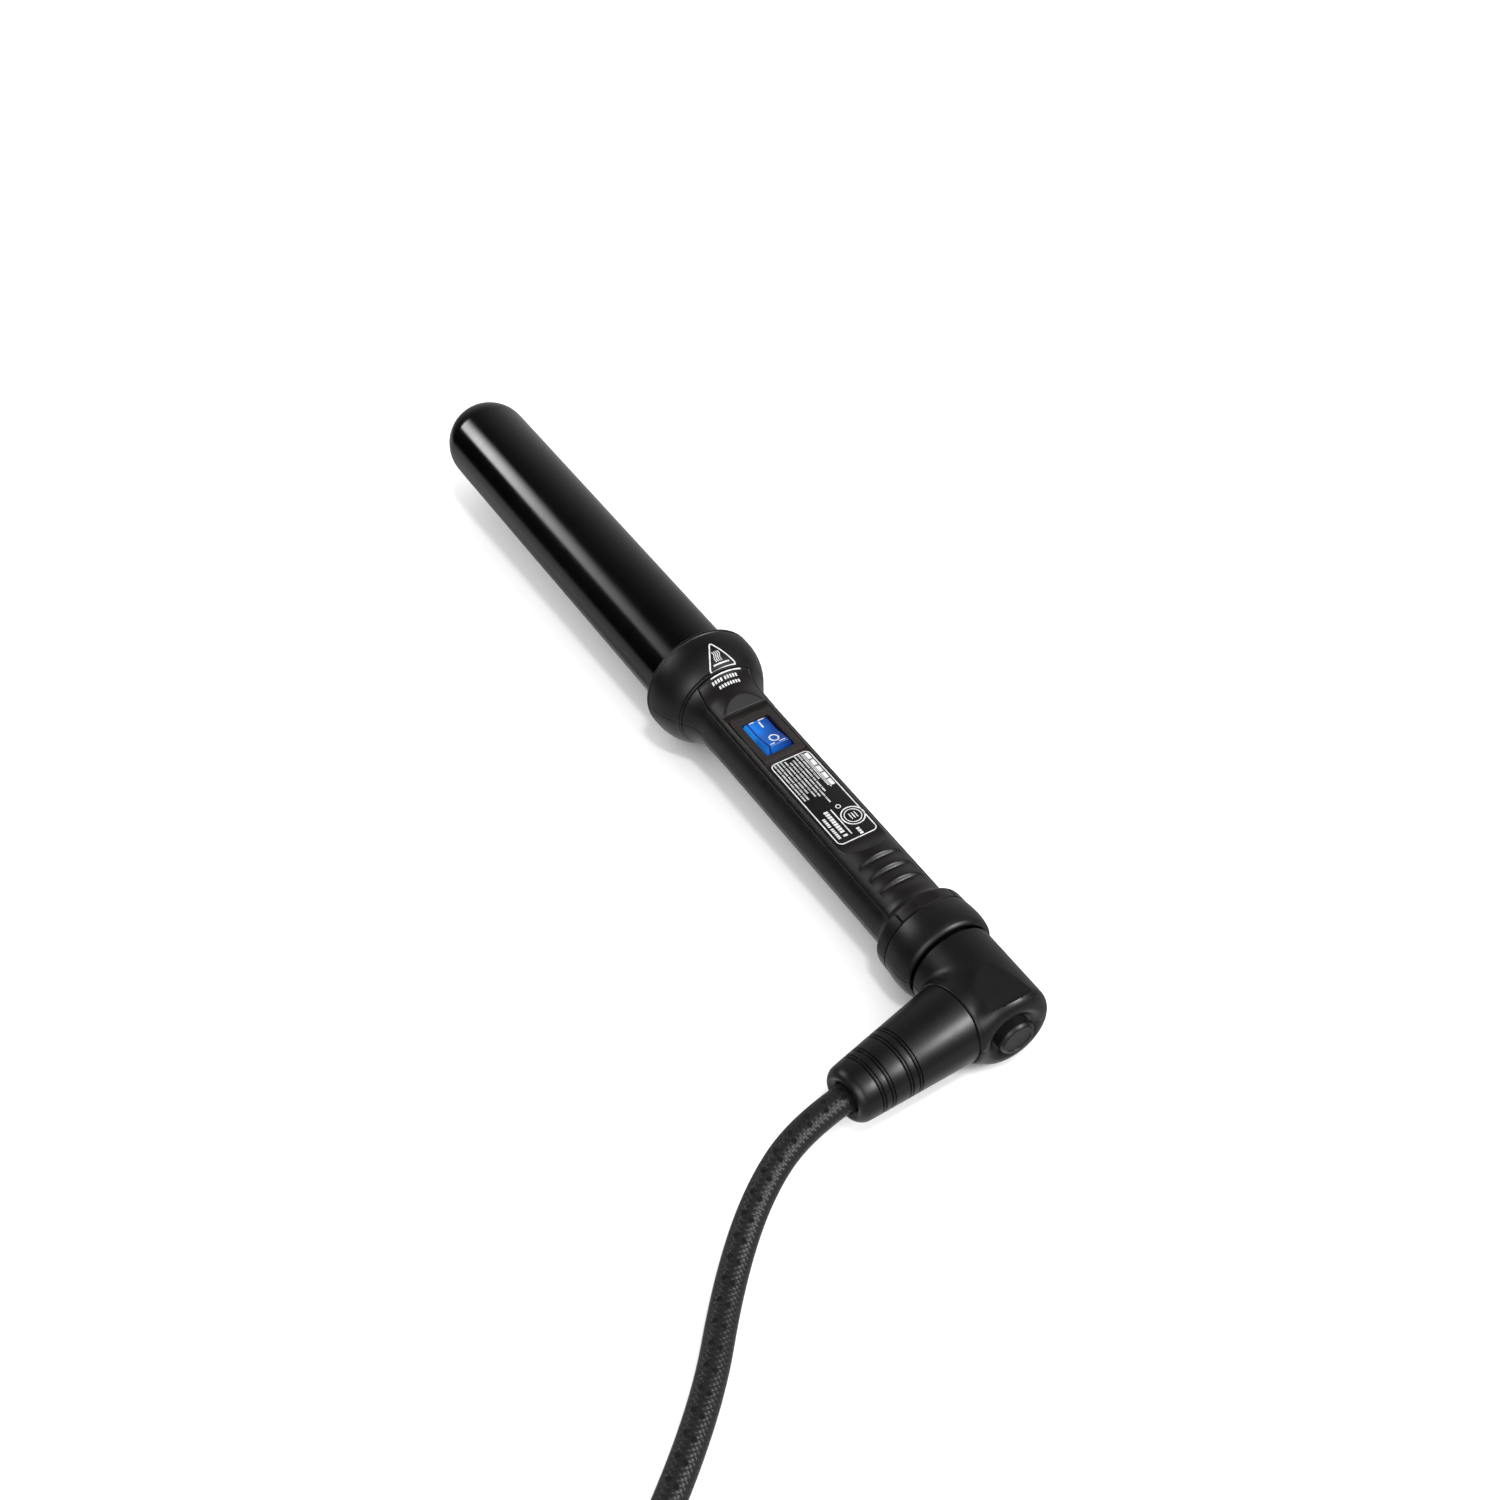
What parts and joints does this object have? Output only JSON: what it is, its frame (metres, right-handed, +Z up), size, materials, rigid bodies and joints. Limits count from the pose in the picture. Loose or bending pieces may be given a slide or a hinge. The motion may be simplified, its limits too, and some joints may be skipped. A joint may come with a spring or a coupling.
{
  "type": "curling wand",
  "caption": "Hair curling wand with a heated barrel, flared heat guard, slim handle with a lit rocker switch and a tail elbow that swivels with the mains cord.",
  "frame": {"origin": "on the surface that the wand rests on, under the middle of the wand without its cord", "axes": "+X from the barrel tip towards the tail, along the wand as it lies; +Z up through the rocker switch; the cord leaves towards -Y"},
  "size_m": [0.5879, 0.2639, 0.0419],
  "materials": {
    "barrel_ceramic": "glossy black ceramic coating on aluminium",
    "spreader_aluminium": "extruded aluminium",
    "heater_ceramic": "grey ceramic heating strip",
    "polyimide_film": "amber insulating film",
    "spring_steel": "plain spring steel",
    "heatproof_plastic": "heat-proof moulded plastic",
    "screw_steel": "zinc plated steel",
    "soft_touch_black": "satin black soft-touch coating on moulded plastic",
    "cover_black": "satin black moulded plastic, slightly warm",
    "bezel_black": "fine matt black moulded plastic",
    "rocker_blue": "clear blue plastic lit from below",
    "lamp_glass": "small clear lamp",
    "contact_brass": "bright brass",
    "label_print": "black label with white print",
    "circuit_board": "green circuit board",
    "component_black": "electronic components",
    "lead_insulation": "silicone insulated leads",
    "insulator_white": "moulded insulating plastic",
    "boot_rubber": "satin black flexible rubber",
    "cord_braid": "black braided textile over the cord",
    "tie_strap": "black hook and loop strap",
    "plug_vinyl": "black moulded vinyl"
  },
  "bodies": {
    "wand": {"barrel": "barrel_ceramic", "barrel_holder": "heatproof_plastic", "barrel_screws": "screw_steel", "board_parts": "component_black", "collar_lower": "soft_touch_black", "collar_upper": "soft_touch_black", "contact_ring_live": "contact_brass", "contact_ring_neutral": "contact_brass", "control_board": "circuit_board", "guard_lower": "soft_touch_black", "guard_upper": "soft_touch_black", "handle_lower_shell": "soft_touch_black", "handle_screws": "screw_steel", "handle_upper_shell": "soft_touch_black", "heat_spreader_lower": "spreader_aluminium", "heat_spreader_upper": "spreader_aluminium", "heater_insulation": "polyimide_film", "heater_leads": "lead_insulation", "ptc_heater": "heater_ceramic", "rating_label": "label_print", "spreader_spring": "spring_steel", "supply_leads": "lead_insulation", "switch_contact": "contact_brass", "switch_housing": "bezel_black", "switch_lamp": "lamp_glass", "switch_terminals": "contact_brass", "swivel_socket": "insulator_white", "thermal_fuse": "spring_steel", "top_cover": "cover_black"},
    "rocker_key": {"rocker": "rocker_blue"},
    "cord_elbow": {"swivel_axle": "screw_steel", "axle_retaining_ring": "spring_steel", "brush_carrier": "insulator_white", "contact_brushes": "contact_brass", "elbow_upper_shell": "soft_touch_black", "elbow_lower_shell": "soft_touch_black", "elbow_screws": "screw_steel", "elbow_cap": "soft_touch_black", "strain_relief_boot": "boot_rubber", "cord_inner_end": "cord_braid", "cord_clamp": "heatproof_plastic", "mains_cord": "cord_braid", "mains_cord_end": "cord_braid", "cord_coil": "cord_braid", "cord_tie": "tie_strap", "plug_body": "plug_vinyl", "plug_blades": "contact_brass"}
  },
  "joints": [
    {"name": "cord_swivel", "type": "hinge", "parent": "wand", "child": "cord_elbow", "pos_m": [0.14682, 0, 0.01579], "axis": [0.9995, 0, -0.0329], "continuous": true},
    {"name": "power_rocker", "type": "hinge", "parent": "wand", "child": "rocker_key", "pos_m": [0.04471, 0, 0.02635], "axis": [0, 1, 0], "range_deg": [0, 14]}
  ]
}
